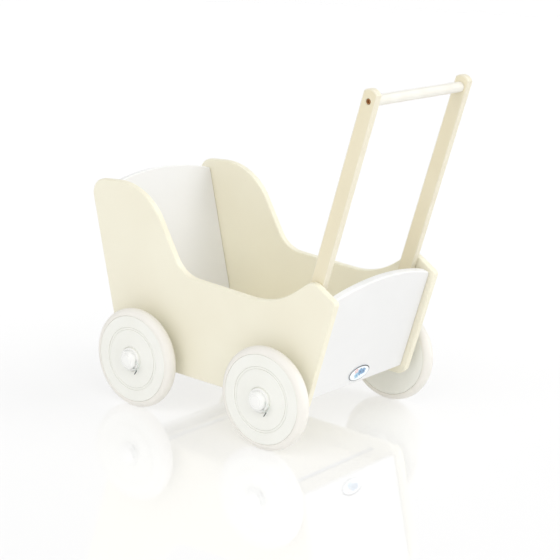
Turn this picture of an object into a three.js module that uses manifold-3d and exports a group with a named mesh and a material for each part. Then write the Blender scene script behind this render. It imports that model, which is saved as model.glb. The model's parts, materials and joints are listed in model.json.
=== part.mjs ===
// Wooden doll's pram: a fixed board tub on four quick-release wheels, with a push handle.
// Millimetres, +Z up. -X is the head end, which leads when the pram is pushed; +X is the foot
// end, where the handle stands. "Left" is -Y, the left hand of a child who pushes it.

import * as THREE from 'three';
import { mergeVertices } from 'three/addons/utils/BufferGeometryUtils.js';
import Module from 'manifold-3d';

const wasm = await Module();
wasm.setup();

// ---------------------------------------------------------------- driving dimensions

const GAP = 0.3; // clearance between pieces that touch

const BOARD = 12; // thickness of side, head and foot panels and of the handle bars
const HALF_INSIDE = 123; // centre plane to a side panel's inner face
const HALF_OUTSIDE = HALF_INSIDE + BOARD;
const HALF_BETWEEN = HALF_INSIDE - GAP; // half width of what fits between the sides
const ROUNDOVER = 2.5;

const HEAD_LEAN = THREE.MathUtils.degToRad(15);
const FOOT_LEAN = THREE.MathUtils.degToRad(14.5);
const SIDE_BOTTOM = 62;
const SIDE_BOTTOM_HEAD_X = -194;
const SIDE_BOTTOM_FOOT_X = 185.2;
const SIDE_TOP_HEAD_Z = 345;
const SIDE_TOP_FOOT_Z = 241;

const HEAD_PANEL = { bottom: 76, recess: 15, endHeight: 263.5, crownHeight: 279.5 };
const FOOT_PANEL = { bottom: 77, recess: 9.3, endHeight: 170, crownHeight: 186.5 };
const FLOOR_UNDERSIDE = 94;
const FLOOR_THICKNESS = 10;

const GRIP_X = 258.5;
const GRIP_Z = 538;
const GRIP_RADIUS = 8;
const BAR = { width: 24.5, below: 440, above: 18.5, topRadius: 15, roundover: 2 };

const HALF_WHEELBASE = 132;
const AXLE_Z = 80;
const AXLE_RADIUS = 3;
const BORE_RADIUS = 3.2; // of what sits on the axle
const AXLE_HALF_LENGTH = 184.5;
const WHEEL_Y = 163; // centre plane of a wheel
const TYRE_RADIUS = 80;
const DISC_RADIUS = 69.1;
const HALF_WHEEL = 11; // half the width of disc and tyre
const WHEEL_SIDES = 28;
// Flats of the faceted wheel touch the true circle, so a flat rests on the ground.
const ON_FLATS = 1 / Math.cos(Math.PI / WHEEL_SIDES);

const WASHER = { flangeRadius: 9, flange: 0.8, collarRadius: 5, height: 1.8 };
const HUB_END = HALF_OUTSIDE + GAP + WASHER.height + 0.6 - WHEEL_Y; // hub's face by the washer
const GROOVE_AT = 18; // release groove, measured outwards from the wheel's centre plane
const GROOVE_HALF_WIDTH = 1;
const GROOVE_RADIUS = 2.2;
const WIRE_RADIUS = 0.75;
const CLIP_TURN = THREE.MathUtils.degToRad(33); // the clip points down and towards the foot

// ---------------------------------------------------------------- finishes

const finish = (color, roughness, metalness = 0) => ({ color, roughness, metalness });
const CREAM = finish(0xf0e9c9, 0.42);
const WHITE = finish(0xf6f5f2, 0.4);
const BEECH = finish(0xd9b98a, 0.7);
const WHEEL_PLASTIC = finish(0xeff0e4, 0.45);
const TYRE_RUBBER = finish(0xf3eee2, 0.6);
const CAP_PLASTIC = finish(0xffffff, 0.2);
const STEEL = finish(0xb9bcc0, 0.3, 1);
const BRONZE = finish(0x4a3020, 0.4, 1);
const ENAMEL = finish(0xdfeaf2, 0.3);

const root = new THREE.Group();

function add(parent, name, geometry, { color, roughness, metalness }) {
  const material = new THREE.MeshStandardMaterial({ color, roughness, metalness });
  const mesh = new THREE.Mesh(geometry, material);
  mesh.name = name;
  parent.add(mesh);
  return mesh;
}

// ---------------------------------------------------------------- solids

function toSolid(geometry) {
  const bare = geometry.index ? geometry.toNonIndexed() : geometry.clone();
  bare.deleteAttribute('normal');
  bare.deleteAttribute('uv');
  const merged = mergeVertices(bare, 1e-4);
  return new wasm.Manifold(new wasm.Mesh({
    numProp: 3,
    vertProperties: new Float32Array(merged.attributes.position.array),
    triVerts: new Uint32Array(merged.index.array),
  }));
}

function toGeometry(solid) {
  const { vertProperties, triVerts } = solid.getMesh();
  const geometry = new THREE.BufferGeometry();
  geometry.setAttribute('position', new THREE.BufferAttribute(new Float32Array(vertProperties), 3));
  geometry.setIndex(new THREE.BufferAttribute(new Uint32Array(triVerts), 1));
  geometry.computeVertexNormals();
  return geometry;
}

function cut(geometry, tools) {
  return toGeometry(tools.reduce((solid, tool) => solid.subtract(toSolid(tool)), toSolid(geometry)));
}

// A round rod along Y from y0 to y1, centred on x and z.
function rod(radius, y0, y1, x, z, sides = 12) {
  const length = Math.abs(y1 - y0);
  return new THREE.CylinderGeometry(radius, radius, length, sides).translate(x, (y0 + y1) / 2, z);
}

// A body turned about Y. `profile` lists [radius, distance] anticlockwise, with the distance
// measured towards `side`; the mirrored profile is reversed so that its faces still look out.
function turned(profile, side, sides) {
  const points = profile.map(([radius, along]) => new THREE.Vector2(radius, along * side));
  if (side < 0) points.reverse();
  return new THREE.LatheGeometry(points, sides, Math.PI / sides);
}

const closed = (profile) => [...profile, profile[0]];

// An outline whose corners, given as [x, y, radius], are rounded by true arcs.
function roundedOutline(corners) {
  const ARC_STEP = THREE.MathUtils.degToRad(12);
  const points = corners.flatMap(([x, y, radius], i) => {
    const corner = new THREE.Vector2(x, y);
    const before = corners.at(i - 1);
    const after = corners[(i + 1) % corners.length];
    const back = new THREE.Vector2(before[0], before[1]).sub(corner).normalize();
    const ahead = new THREE.Vector2(after[0], after[1]).sub(corner).normalize();
    const half = Math.acos(back.dot(ahead)) / 2;
    const bisector = back.clone().add(ahead).normalize();
    const centre = corner.clone().addScaledVector(bisector, radius / Math.sin(half));
    const from = corner.clone().addScaledVector(back, radius / Math.tan(half)).sub(centre);
    const sweep = (Math.PI - 2 * half) * Math.sign(ahead.cross(back));
    const steps = Math.max(2, Math.ceil(Math.abs(sweep) / ARC_STEP));
    const turn = (k) => from.clone().rotateAround(new THREE.Vector2(), sweep * k / steps).add(centre);
    return Array.from({ length: steps + 1 }, (_, k) => turn(k));
  });
  return new THREE.Shape(points);
}

// A board cut to an outline in X and Z, between y0 and y0 + thickness, edges rounded over.
function board(outline, y0, thickness, roundover) {
  const geometry = new THREE.ExtrudeGeometry(outline, {
    depth: thickness - 2 * roundover,
    bevelThickness: roundover,
    bevelSize: roundover,
    bevelOffset: -roundover,
    bevelSegments: 2,
    curveSegments: 8,
  });
  return geometry.rotateX(Math.PI / 2).translate(0, y0 + thickness - roundover, 0);
}

// ---------------------------------------------------------------- frames of the leaning ends

const sideEdgeX = {
  head: (z) => SIDE_BOTTOM_HEAD_X - (z - SIDE_BOTTOM) * Math.tan(HEAD_LEAN),
  foot: (z) => SIDE_BOTTOM_FOOT_X + (z - SIDE_BOTTOM) * Math.tan(FOOT_LEAN),
};

function leaningFrame(x, z, lean) {
  const frame = new THREE.Group();
  frame.position.set(x, 0, z);
  frame.rotation.y = lean;
  root.add(frame);
  frame.updateMatrixWorld();
  return frame;
}

// Both end panels start at their outer face's lower edge, with local z up along the panel.
const headFrame = leaningFrame(
  sideEdgeX.head(HEAD_PANEL.bottom) + HEAD_PANEL.recess / Math.cos(HEAD_LEAN),
  HEAD_PANEL.bottom,
  -HEAD_LEAN,
);
const footFrame = leaningFrame(
  sideEdgeX.foot(FOOT_PANEL.bottom) - FOOT_PANEL.recess / Math.cos(FOOT_LEAN),
  FOOT_PANEL.bottom,
  FOOT_LEAN,
);
const handleFrame = leaningFrame(GRIP_X, GRIP_Z, FOOT_LEAN);

// ---------------------------------------------------------------- joinery positions

const SIDES = [{ name: 'left', side: -1 }, { name: 'right', side: 1 }];
const DOWEL = { radius: 4, length: 30, inSide: 8 };
const FLOOR_DOWEL = { radius: 3, length: 30, inSide: 8 };

// Dowel rows: the frame that they lie in, local x and local heights.
const headDowels = [40, 130, 220].map((z) => ({ frame: headFrame, x: BOARD / 2, z }));
const footDowels = [35, 130].map((z) => ({ frame: footFrame, x: -BOARD / 2, z }));
const floorDowels = [-120, 80].map((x) => ({
  frame: root, x, z: FLOOR_UNDERSIDE + FLOOR_THICKNESS / 2,
}));
const barScrewHeights = [-405, -335];

function inWorld({ frame, x, z }) {
  return frame.localToWorld(new THREE.Vector3(x, 0, z));
}

function addDowels(panel, rows, dowel) {
  const inner = HALF_INSIDE + dowel.inSide - dowel.length;
  rows.forEach(({ frame, x, z }, i) => SIDES.forEach(({ name, side }) => {
    const pin = rod(dowel.radius, side * inner, side * (inner + dowel.length), x, z, 10);
    add(frame, `${panel}_dowel_${name}_${i + 1}`, pin, BEECH);
  }));
}

function dowelHoles(rows, dowel) {
  const inner = HALF_INSIDE + dowel.inSide - dowel.length - GAP;
  return rows.flatMap(({ x, z }) => SIDES.map(({ side }) => (
    rod(dowel.radius + GAP, side * inner, side * (HALF_INSIDE + 1), x, z, 10)
  )));
}

// ---------------------------------------------------------------- tub

const sideOutline = roundedOutline([
  [SIDE_BOTTOM_HEAD_X, SIDE_BOTTOM, 18],
  [SIDE_BOTTOM_FOOT_X, SIDE_BOTTOM, 18],
  [sideEdgeX.foot(SIDE_TOP_FOOT_Z), SIDE_TOP_FOOT_Z, 8],
  [187, 267.5, 18], // peak beside the handle
  [118, 215.4, 130], // end of the low stretch
  [-67, 223.3, 55], // foot of the S-curve
  [-148, 354.8, 105], // shoulder of the S-curve
  [sideEdgeX.head(SIDE_TOP_HEAD_Z), SIDE_TOP_HEAD_Z, 25],
]);

for (const { name, side } of SIDES) {
  const y0 = side < 0 ? -HALF_OUTSIDE : HALF_INSIDE;
  const mouth = side * (HALF_INSIDE - 1);
  const blind = (places, dowel) => places.map(inWorld).map(({ x, z }) => (
    rod(dowel.radius + GAP, mouth, side * (HALF_INSIDE + dowel.inSide + GAP), x, z, 10)
  ));
  const axleHoles = [-HALF_WHEELBASE, HALF_WHEELBASE].map((x) => (
    rod(AXLE_RADIUS + GAP, side * (HALF_INSIDE - 1), side * (HALF_OUTSIDE + 1), x, AXLE_Z, 16)
  ));
  const screwHoles = barScrewHeights
    .map((z) => inWorld({ frame: handleFrame, x: 0, z }))
    .map(({ x, z }) => rod(2.3, mouth, side * (HALF_INSIDE + 8), x, z, 10));
  const panel = cut(board(sideOutline, y0, BOARD, ROUNDOVER), [
    ...blind([...headDowels, ...footDowels], DOWEL),
    ...blind(floorDowels, FLOOR_DOWEL),
    ...axleHoles,
    ...screwHoles,
  ]);
  add(root, `side_panel_${name}`, panel, CREAM);
}

// An end panel: a plain lower edge and an arched top, `thickness` along local x from x0.
function endPanel({ endHeight, crownHeight }, x0) {
  const rise = crownHeight - endHeight;
  const radius = (HALF_BETWEEN ** 2 + rise ** 2) / (2 * rise);
  const halfAngle = Math.asin(HALF_BETWEEN / radius);
  const outline = new THREE.Shape();
  outline.moveTo(-HALF_BETWEEN, 0);
  outline.lineTo(HALF_BETWEEN, 0);
  outline.lineTo(HALF_BETWEEN, endHeight);
  outline.absarc(
    0, crownHeight - radius, radius,
    Math.PI / 2 - halfAngle, Math.PI / 2 + halfAngle, false,
  );
  const geometry = new THREE.ExtrudeGeometry(outline, {
    depth: BOARD, bevelEnabled: false, curveSegments: 14,
  });
  // The outline's x becomes Y and its y becomes Z, so the board's thickness runs along X.
  return geometry.rotateX(Math.PI / 2).rotateZ(Math.PI / 2).translate(x0, 0, 0);
}

add(headFrame, 'head_panel', cut(endPanel(HEAD_PANEL, 0), dowelHoles(headDowels, DOWEL)), WHITE);
add(footFrame, 'foot_panel', cut(endPanel(FOOT_PANEL, -BOARD), dowelHoles(footDowels, DOWEL)), WHITE);

// The floor's square ends clear the leaning panels at its tighter corner.
function panelFaceX({ frame, x, z }) {
  const face = frame.localToWorld(new THREE.Vector3(x, 0, 0));
  return face.x + (z - face.z) * Math.tan(frame.rotation.y);
}
const floorHeadX = panelFaceX({ frame: headFrame, x: BOARD, z: FLOOR_UNDERSIDE }) + GAP;
const floorFootX = panelFaceX({ frame: footFrame, x: -BOARD, z: FLOOR_UNDERSIDE }) - GAP;
const floorBoard = new THREE.BoxGeometry(floorFootX - floorHeadX, 2 * HALF_BETWEEN, FLOOR_THICKNESS)
  .translate((floorHeadX + floorFootX) / 2, 0, FLOOR_UNDERSIDE + FLOOR_THICKNESS / 2);
add(root, 'floor_panel', cut(floorBoard, dowelHoles(floorDowels, FLOOR_DOWEL)), CREAM);

addDowels('head', headDowels, DOWEL);
addDowels('foot', footDowels, DOWEL);
addDowels('floor', floorDowels, FLOOR_DOWEL);

// Enamelled oval badge, low on the foot panel.
function badge() {
  const BADGE = { halfWidth: 26.5, halfHeight: 13.5, height: 18.6, thickness: 0.8 };
  const outline = new THREE.Shape();
  outline.absellipse(0, BADGE.height, BADGE.halfWidth, BADGE.halfHeight, 0, 2 * Math.PI);
  const plate = new THREE.ExtrudeGeometry(outline, {
    depth: BADGE.thickness, bevelEnabled: false, curveSegments: 32,
  });
  return plate.rotateX(Math.PI / 2).rotateZ(Math.PI / 2).translate(GAP, 0, 0);
}
add(footFrame, 'badge', badge(), ENAMEL);

// ---------------------------------------------------------------- handle

const BAR_OUTER_Y = HALF_BETWEEN;
const BAR_INNER_Y = BAR_OUTER_Y - BOARD;

function barOutline() {
  const half = BAR.width / 2;
  const halfAngle = Math.asin(half / BAR.topRadius);
  const outline = new THREE.Shape();
  outline.moveTo(-half, -BAR.below);
  outline.lineTo(half, -BAR.below);
  outline.absarc(
    0, BAR.above - BAR.topRadius, BAR.topRadius,
    Math.PI / 2 - halfAngle, Math.PI / 2 + halfAngle, false,
  );
  return outline;
}

// A countersunk wood screw along Y, its head's face at `head` and its tip at `tip`.
function woodScrew(head, tip, x, z, grow = 0) {
  const away = Math.sign(head - tip);
  const profile = [
    [0, 0], [4.1 + grow, 0], [4.1 + grow, 0.5 + grow], [2 + grow, 2.6 + grow],
    [2 + grow, Math.abs(head - tip) - 3], [0, Math.abs(head - tip) + grow],
  ];
  const points = profile.map(([radius, depth]) => [radius, -depth]).reverse();
  return turned(points, away, 10).translate(x, head, z);
}

// The machine screw that holds the grip: a cylindrical head with a hexagon socket.
function gripScrew(side) {
  const HEAD = { face: BAR_OUTER_Y - 1.2, radius: 4.2, depth: 2.4 };
  const neck = HEAD.face - HEAD.depth;
  const body = turned([
    [0, 84], [2, 84], [2, neck], [HEAD.radius, neck], [HEAD.radius, HEAD.face], [0, HEAD.face],
  ], side, 16);
  const socket = rod(2.3, side * (HEAD.face - 1.6), side * (HEAD.face + 1), 0, 0, 6);
  return cut(body, [socket]);
}

for (const { name, side } of SIDES) {
  const y0 = side < 0 ? -BAR_OUTER_Y : BAR_INNER_Y;
  const screwSeats = barScrewHeights.map((z) => (
    woodScrew(side * BAR_INNER_Y, side * (HALF_INSIDE + 9), 0, z, GAP)
  ));
  const bar = cut(board(barOutline(), y0, BOARD, BAR.roundover), [
    rod(4.6, side * (BAR_OUTER_Y - 3.9), side * (BAR_OUTER_Y + 1), 0, 0, 16),
    rod(2.3, side * (BAR_INNER_Y - 1), side * (BAR_OUTER_Y - 3), 0, 0, 12),
    ...screwSeats,
  ]);
  add(handleFrame, `handle_bar_${name}`, bar, CREAM);
}

const gripEnd = BAR_INNER_Y - GAP;
const pilotHoles = SIDES.map(({ side }) => rod(2.3, side * 83, side * (gripEnd + 1), 0, 0, 12));
add(handleFrame, 'handle_grip', cut(rod(GRIP_RADIUS, -gripEnd, gripEnd, 0, 0, 24), pilotHoles), WHITE);
for (const { name, side } of SIDES) {
  add(handleFrame, `grip_screw_${name}`, gripScrew(side), BRONZE);
  barScrewHeights.forEach((z, i) => {
    const screw = woodScrew(side * (BAR_INNER_Y + GAP), side * (HALF_INSIDE + 6), 0, z);
    add(handleFrame, `bar_screw_${name}_${i + 1}`, screw, STEEL);
  });
}

// ---------------------------------------------------------------- axles

// Half an axle, from the middle outwards, with the groove that the release clip holds.
const halfAxle = [
  [AXLE_RADIUS, WHEEL_Y + GROOVE_AT - GROOVE_HALF_WIDTH],
  [GROOVE_RADIUS, WHEEL_Y + GROOVE_AT - GROOVE_HALF_WIDTH],
  [GROOVE_RADIUS, WHEEL_Y + GROOVE_AT + GROOVE_HALF_WIDTH],
  [AXLE_RADIUS, WHEEL_Y + GROOVE_AT + GROOVE_HALF_WIDTH],
  [AXLE_RADIUS, AXLE_HALF_LENGTH - 0.9],
  [AXLE_RADIUS - 0.9, AXLE_HALF_LENGTH],
  [0, AXLE_HALF_LENGTH],
];
const axleProfile = [...halfAxle.map(([radius, y]) => [radius, -y]).reverse(), ...halfAxle];

// Push-on washers outside each side panel keep the axle from sliding through the tub.
const seat = HALF_OUTSIDE + GAP;
const pushWasher = closed([
  [BORE_RADIUS, seat], [WASHER.flangeRadius, seat], [WASHER.flangeRadius, seat + WASHER.flange],
  [WASHER.collarRadius, seat + WASHER.height], [BORE_RADIUS, seat + WASHER.height],
]);

const AXLES = [{ end: 'head', x: -HALF_WHEELBASE }, { end: 'foot', x: HALF_WHEELBASE }];
for (const { end, x } of AXLES) {
  add(root, `axle_${end}`, turned(axleProfile, 1, 12), STEEL).position.set(x, 0, AXLE_Z);
  for (const { name, side } of SIDES) {
    const washer = add(root, `axle_washer_${end}_${name}`, turned(pushWasher, side, 12), STEEL);
    washer.position.set(x, 0, AXLE_Z);
  }
}

// ---------------------------------------------------------------- wheels

// Distances are measured outwards from the wheel's centre plane.
const BOSS_FACE = 15;
const CAP_RADIUS = 15;
const onFlats = (profile) => profile.map(([radius, along]) => [radius * ON_FLATS, along]);

const discProfile = closed([
  [BORE_RADIUS, HUB_END], [12, HUB_END], [15, -HALF_WHEEL], // hub, towards the side panel
  [DISC_RADIUS, -HALF_WHEEL], [DISC_RADIUS, -4.3], // rim, with the channel for the tyre
  [DISC_RADIUS - 3.4, -4.3], [DISC_RADIUS - 3.4, 4.3],
  [DISC_RADIUS, 4.3], [DISC_RADIUS, HALF_WHEEL],
  [51, HALF_WHEEL], [49, HALF_WHEEL - 1.4], [47, HALF_WHEEL], // ring groove
  [30, HALF_WHEEL + 0.6], [18.6, HALF_WHEEL + 1.8], // face, swelling towards the boss
  [17.6, BOSS_FACE - 0.8], [16.8, BOSS_FACE],
  [BORE_RADIUS, BOSS_FACE],
]);

const tyreProfile = closed([
  [69.4, -HALF_WHEEL], [75.5, -9.2], [TYRE_RADIUS, -3],
  [TYRE_RADIUS, 3], [75.5, 9.2], [69.4, HALF_WHEEL],
  [69.4, 4], [66, 4], [66, -4], [69.4, -4], // rib that sits in the rim's channel
]);

const capProfile = [
  [0, 23.6], [7.5, 22.4], [13.6, 18], [13.6, BOSS_FACE + GAP],
  [CAP_RADIUS, BOSS_FACE + GAP], [CAP_RADIUS, 19], [13.2, 21.5], [9, 23.6], [0, 25.1],
];

// The clip's outward direction (u) and the direction across it (v), both in X and Z.
const clipOut = new THREE.Vector3(Math.cos(CLIP_TURN), 0, -Math.sin(CLIP_TURN));
const clipAcross = new THREE.Vector3(Math.sin(CLIP_TURN), 0, Math.cos(CLIP_TURN));

function onClip(u, v, along) {
  const point = clipOut.clone().multiplyScalar(u).addScaledVector(clipAcross, v);
  return point.setY(along);
}

// The cap's wall has a notch for each leg of the clip, wide enough for the clip's travel.
function hubCap(side) {
  const NOTCH = { from: 8, to: 18, top: 19.5 };
  const notches = [[6.4, 10.4], [-6.4, -2.2]].map(([low, high]) => {
    const notch = new THREE.BoxGeometry(NOTCH.to - NOTCH.from, NOTCH.top - BOSS_FACE, high - low)
      .rotateY(CLIP_TURN);
    const middle = onClip(
      (NOTCH.from + NOTCH.to) / 2, (low + high) / 2, side * (NOTCH.top + BOSS_FACE) / 2,
    );
    return notch.translate(middle.x, middle.y, middle.z);
  });
  return cut(turned(capProfile, side, 16), notches);
}

// Spring wire: a loop round the axle whose narrow waist holds the groove, two legs that leave
// the cap, and a cross bar with a tail. Pushed in, its wide part meets the axle and frees it.
function releaseClip(side) {
  const WAIST = 3.15;
  const WIDE = 4.2;
  const LOOP_END = -5;
  const along = side * GROOVE_AT;
  const stops = [
    [22.5, -10], [22.5, 7.8], [21.3, 9], [12, 8.7], [7.5, WIDE], [3.4, WIDE], [2.5, WAIST],
    [-3, WAIST], [-4.5, 2], [LOOP_END, 0], [-4.5, -2], [-3, -WAIST], [2.5, -WAIST],
    [3.4, -WIDE], [8, -WIDE], [13, -4.8], [21, -3.2],
  ].map(([u, v]) => onClip(u, v, along));
  return sweep(stops, WIRE_RADIUS, 6);
}

// A round wire through flat stops: one ring of points a stop, mitred, with closed ends.
function sweep(stops, radius, sides) {
  const positions = [];
  const index = [];
  const ring = (i, k) => i * sides + (k % sides);
  stops.forEach((stop, i) => {
    const before = stops[Math.max(i - 1, 0)];
    const after = stops[Math.min(i + 1, stops.length - 1)];
    const incoming = stop.clone().sub(before).normalize();
    const outgoing = after.clone().sub(stop).normalize();
    const tangent = incoming.clone().add(outgoing).normalize();
    const up = new THREE.Vector3(0, 1, 0);
    const across = tangent.clone().cross(up).normalize();
    const bend = i === 0 || i === stops.length - 1 ? 1 : incoming.dot(tangent);
    for (let k = 0; k < sides; k += 1) {
      const angle = (2 * Math.PI * k) / sides;
      const point = stop.clone()
        .addScaledVector(across, (radius / bend) * Math.cos(angle))
        .addScaledVector(up, radius * Math.sin(angle));
      positions.push(point.x, point.y, point.z);
    }
  });
  const last = stops.length - 1;
  for (let i = 0; i < last; i += 1) {
    for (let k = 0; k < sides; k += 1) {
      index.push(ring(i, k), ring(i + 1, k), ring(i, k + 1));
      index.push(ring(i, k + 1), ring(i + 1, k), ring(i + 1, k + 1));
    }
  }
  for (let k = 1; k < sides - 1; k += 1) {
    index.push(ring(0, 0), ring(0, k), ring(0, k + 1));
    index.push(ring(last, 0), ring(last, k + 1), ring(last, k));
  }
  const geometry = new THREE.BufferGeometry();
  geometry.setAttribute('position', new THREE.Float32BufferAttribute(positions, 3));
  geometry.setIndex(index);
  return geometry;
}

for (const { end, x } of AXLES) {
  for (const { name, side } of SIDES) {
    const wheel = new THREE.Group();
    wheel.position.set(x, side * WHEEL_Y, AXLE_Z);
    root.add(wheel);
    const place = `${end}_${name}`;
    add(wheel, `wheel_disc_${place}`, turned(onFlats(discProfile), side, WHEEL_SIDES), WHEEL_PLASTIC);
    add(wheel, `tyre_${place}`, turned(onFlats(tyreProfile), side, WHEEL_SIDES), TYRE_RUBBER);
    add(wheel, `hub_cap_${place}`, hubCap(side), CAP_PLASTIC);
    add(wheel, `release_clip_${place}`, releaseClip(side), STEEL);
  }
}

// The origin is on the ground, under the middle of the pram's overall length and width.
const extent = new THREE.Box3().setFromObject(root, true);
root.position.x = -(extent.min.x + extent.max.x) / 2;

export default root;
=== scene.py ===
"""Wooden doll's pram: painted boards, quick-release wheels and a push handle.

Sizes are in millimetres and become metres when a mesh is made. X runs from the head end (-X) to
the foot end (+X), Y across the pram, and Z up from the ground.
"""

import json
import math

import bmesh
import bpy
from mathutils import Matrix, Vector


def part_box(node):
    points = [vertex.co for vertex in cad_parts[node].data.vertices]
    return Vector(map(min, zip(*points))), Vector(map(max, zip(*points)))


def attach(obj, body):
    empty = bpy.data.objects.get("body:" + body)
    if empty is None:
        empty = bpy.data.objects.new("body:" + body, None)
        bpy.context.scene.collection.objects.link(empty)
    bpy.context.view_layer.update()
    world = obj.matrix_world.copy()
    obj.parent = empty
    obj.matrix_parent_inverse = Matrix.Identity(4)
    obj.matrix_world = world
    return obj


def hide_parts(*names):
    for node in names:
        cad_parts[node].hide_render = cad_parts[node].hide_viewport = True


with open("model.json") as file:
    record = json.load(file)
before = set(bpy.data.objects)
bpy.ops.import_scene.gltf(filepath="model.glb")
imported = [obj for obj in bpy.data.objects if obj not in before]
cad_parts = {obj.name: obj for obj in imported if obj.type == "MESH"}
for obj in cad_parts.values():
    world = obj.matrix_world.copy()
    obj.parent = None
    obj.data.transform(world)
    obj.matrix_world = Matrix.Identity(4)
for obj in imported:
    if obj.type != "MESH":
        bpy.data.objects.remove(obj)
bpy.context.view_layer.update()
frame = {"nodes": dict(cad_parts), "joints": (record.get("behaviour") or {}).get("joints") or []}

MM = 0.001


# ------------------------------------------------------------------ places taken from the frame

JOINTS = {joint["name"]: joint for joint in frame["joints"]}
SIDES = {"left": -1, "right": 1}
ENDS = ("head", "foot")


def wheel_centre(end, side):
    """Where a wheel's hinge is, in millimetres."""
    return Vector(JOINTS[f"wheel_spin_{end}_{side}"]["pos_m"]) / MM


def node_box(node):
    """The low and high corners of a CAD node's box, in millimetres."""
    low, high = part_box(node)
    return Vector(low) / MM, Vector(high) / MM


# The boards are drawn from the middle of the wheelbase, on the ground.
MIDDLE_X = (wheel_centre("head", "left").x + wheel_centre("foot", "left").x) / 2
AXLE_Z = wheel_centre("head", "left").z
HALF_OUTSIDE = node_box("side_panel_right")[1].y
HALF_INSIDE = node_box("side_panel_right")[0].y
HALF_BETWEEN = node_box("head_panel")[1].y
BOARD = HALF_OUTSIDE - HALF_INSIDE

HEAD_LEAN = math.radians(15)
FOOT_LEAN = math.radians(14.5)
SIDE_BOTTOM = node_box("side_panel_right")[0].z
SIDE_BOTTOM_HEAD_X = -194
SIDE_BOTTOM_FOOT_X = 185.2
SIDE_TOP_HEAD_Z = 345
SIDE_TOP_FOOT_Z = 241
BOARD_ROUNDOVER = 2.5

# `bottom` is above the ground, and the other heights run up along the leaning panel. `recess` is
# how far the panel stands inside the side boards' edge.
HEAD_PANEL = {"bottom": 76, "recess": 15, "end_height": 263.5, "crown_height": 279.5, "corner": 3}
FOOT_PANEL = {"bottom": 77, "recess": 9.3, "end_height": 170, "crown_height": 186.5, "corner": 7}

# The bars reach `below` and `above` the grip, along the foot panel's lean.
GRIP_X = 258.5
GRIP_Z = 538
GRIP_RADIUS = 8
BAR = {"width": 24.5, "below": 440, "above": 18.5, "top_radius": 15}

# Slack between pieces that touch in the real pram, so that no two faces coincide.
GAP = 0.3

# The release clip slides along CLIP_OUT, from the axle towards the rim.
CLIP_TURN = math.radians(33)
CLIP_OUT = Vector((math.cos(CLIP_TURN), 0, -math.sin(CLIP_TURN)))
CLIP_ACROSS = Vector((math.sin(CLIP_TURN), 0, math.cos(CLIP_TURN)))


# ------------------------------------------------------------------ outlines


def fillet(points, closed=True, step=math.radians(5)):
    """Rounds the corners of a path given as (u, v, radius), by true arcs."""
    rounded = []
    last = len(points) - 1
    for i, (u, v, radius) in enumerate(points):
        corner = Vector((u, v))
        if radius <= 0 or (not closed and i in (0, last)):
            rounded.append(corner)
            continue
        back = (Vector(points[i - 1][:2]) - corner).normalized()
        ahead = (Vector(points[(i + 1) % len(points)][:2]) - corner).normalized()
        half = math.acos(max(-1, min(1, back.dot(ahead)))) / 2
        centre = corner + (back + ahead).normalized() * (radius / math.sin(half))
        start = corner + back * (radius / math.tan(half)) - centre
        turn = (math.pi - 2 * half) * math.copysign(1, ahead.x * back.y - ahead.y * back.x)
        steps = max(2, math.ceil(abs(turn) / step))
        for k in range(steps + 1):
            angle = turn * k / steps
            cos, sin = math.cos(angle), math.sin(angle)
            spoke = Vector((start.x * cos - start.y * sin, start.x * sin + start.y * cos))
            rounded.append(centre + spoke)
    return rounded


def inset(points, amount):
    """Moves an anticlockwise outline inwards, with mitred corners."""
    moved = []
    for i, point in enumerate(points):
        before = (point - points[i - 1]).normalized()
        after = (points[(i + 1) % len(points)] - point).normalized()
        inwards = Vector((-before.y, before.x)) + Vector((-after.y, after.x))
        inwards.normalize()
        moved.append(point + inwards * (amount / inwards.dot(Vector((-before.y, before.x)))))
    return moved


# ------------------------------------------------------------------ meshes


def make_object(name, vertices, faces, materials, slots=None, at=Vector()):
    """A mesh object from points in millimetres, shaded smooth, with its origin at `at`."""
    mesh = bpy.data.meshes.new(name)
    mesh.from_pydata([(Vector(v) - at) * MM for v in vertices], [], faces)
    for material in materials:
        mesh.materials.append(material)
    if slots:
        mesh.polygons.foreach_set("material_index", slots)
    mesh.polygons.foreach_set("use_smooth", [True] * len(mesh.polygons))
    mesh.update()
    made = bpy.data.objects.new(name, mesh)
    made.location = at * MM
    bpy.context.scene.collection.objects.link(made)
    return made


def soften(piece):
    """Flat faces keep flat normals beside rounded edges."""
    modifier = piece.modifiers.new("weighted_normals", "WEIGHTED_NORMAL")
    modifier.weight = 100
    modifier.keep_sharp = True


def sharpen(piece, degrees):
    """Edges that turn by more than the angle stay crisp under smooth shading."""
    piece.data.set_sharp_from_angle(angle=math.radians(degrees))


def carve(piece, cutters):
    """Cuts each cutter out of the piece, then deletes the cutters."""
    for cutter in cutters:
        modifier = piece.modifiers.new("carve", "BOOLEAN")
        modifier.operation = "DIFFERENCE"
        modifier.solver = "EXACT"
        modifier.object = cutter
    graph = bpy.context.evaluated_depsgraph_get()
    carved = bpy.data.meshes.new_from_object(piece.evaluated_get(graph))
    piece.modifiers.clear()
    piece.data = carved
    carved.polygons.foreach_set("use_smooth", [True] * len(carved.polygons))
    for cutter in cutters:
        bpy.data.objects.remove(cutter)


def ring_faces(first, second, count):
    """The faces between two closed rings of vertices, given each ring's first index."""
    return [
        (first + i, first + (i + 1) % count, second + (i + 1) % count, second + i)
        for i in range(count)
    ]


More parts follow.
